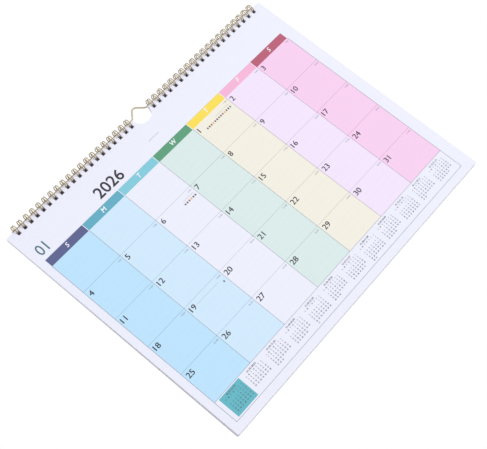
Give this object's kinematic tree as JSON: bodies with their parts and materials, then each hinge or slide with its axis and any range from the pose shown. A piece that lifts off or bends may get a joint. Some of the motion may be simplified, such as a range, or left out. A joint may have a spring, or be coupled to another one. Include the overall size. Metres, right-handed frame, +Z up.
{
  "type": "wall calendar",
  "caption": "Landscape wall calendar: punched month leaves and a back card on gold twin-loop wire, with a wire hanger whose bump hangs on a nail over a thumb notch.",
  "frame": {"origin": "where the nail bears, on the underside of the hanger's bump", "axes": "+Z up, +X towards the right of the printed side, -Y the way the printed side faces"},
  "size_m": [0.381, 0.0102, 0.3022],
  "materials": {
    "gold_hanger_wire": "satin gold coated steel wire",
    "gold_comb_wire": "satin gold coated steel wire",
    "printed_paper": "smooth uncoated paper, printed in pale colour fields",
    "grey_card": "plain grey card"
  },
  "bodies": {
    "hanger": {"hanger": "gold_hanger_wire"},
    "binding": {"left_wire_comb": "gold_comb_wire", "right_wire_comb": "gold_comb_wire"},
    "pages": {"page_block": "printed_paper"},
    "cover": {"back_cover": "grey_card"}
  },
  "joints": [
    {"name": "hanger_swing", "type": "hinge", "parent": "hanger", "child": "binding", "pos_m": [0, 0, -0.00755], "axis": [1, 0, 0], "continuous": true},
    {"name": "pages_turn", "type": "hinge", "parent": "binding", "child": "pages", "pos_m": [0, 0, -0.00755], "axis": [-1, 0, 0], "range_deg": [0, 185]},
    {"name": "back_cover_turn", "type": "hinge", "parent": "binding", "child": "cover", "pos_m": [0, 0, -0.00755], "axis": [-1, 0, 0], "range_deg": [-50, 0]}
  ]
}
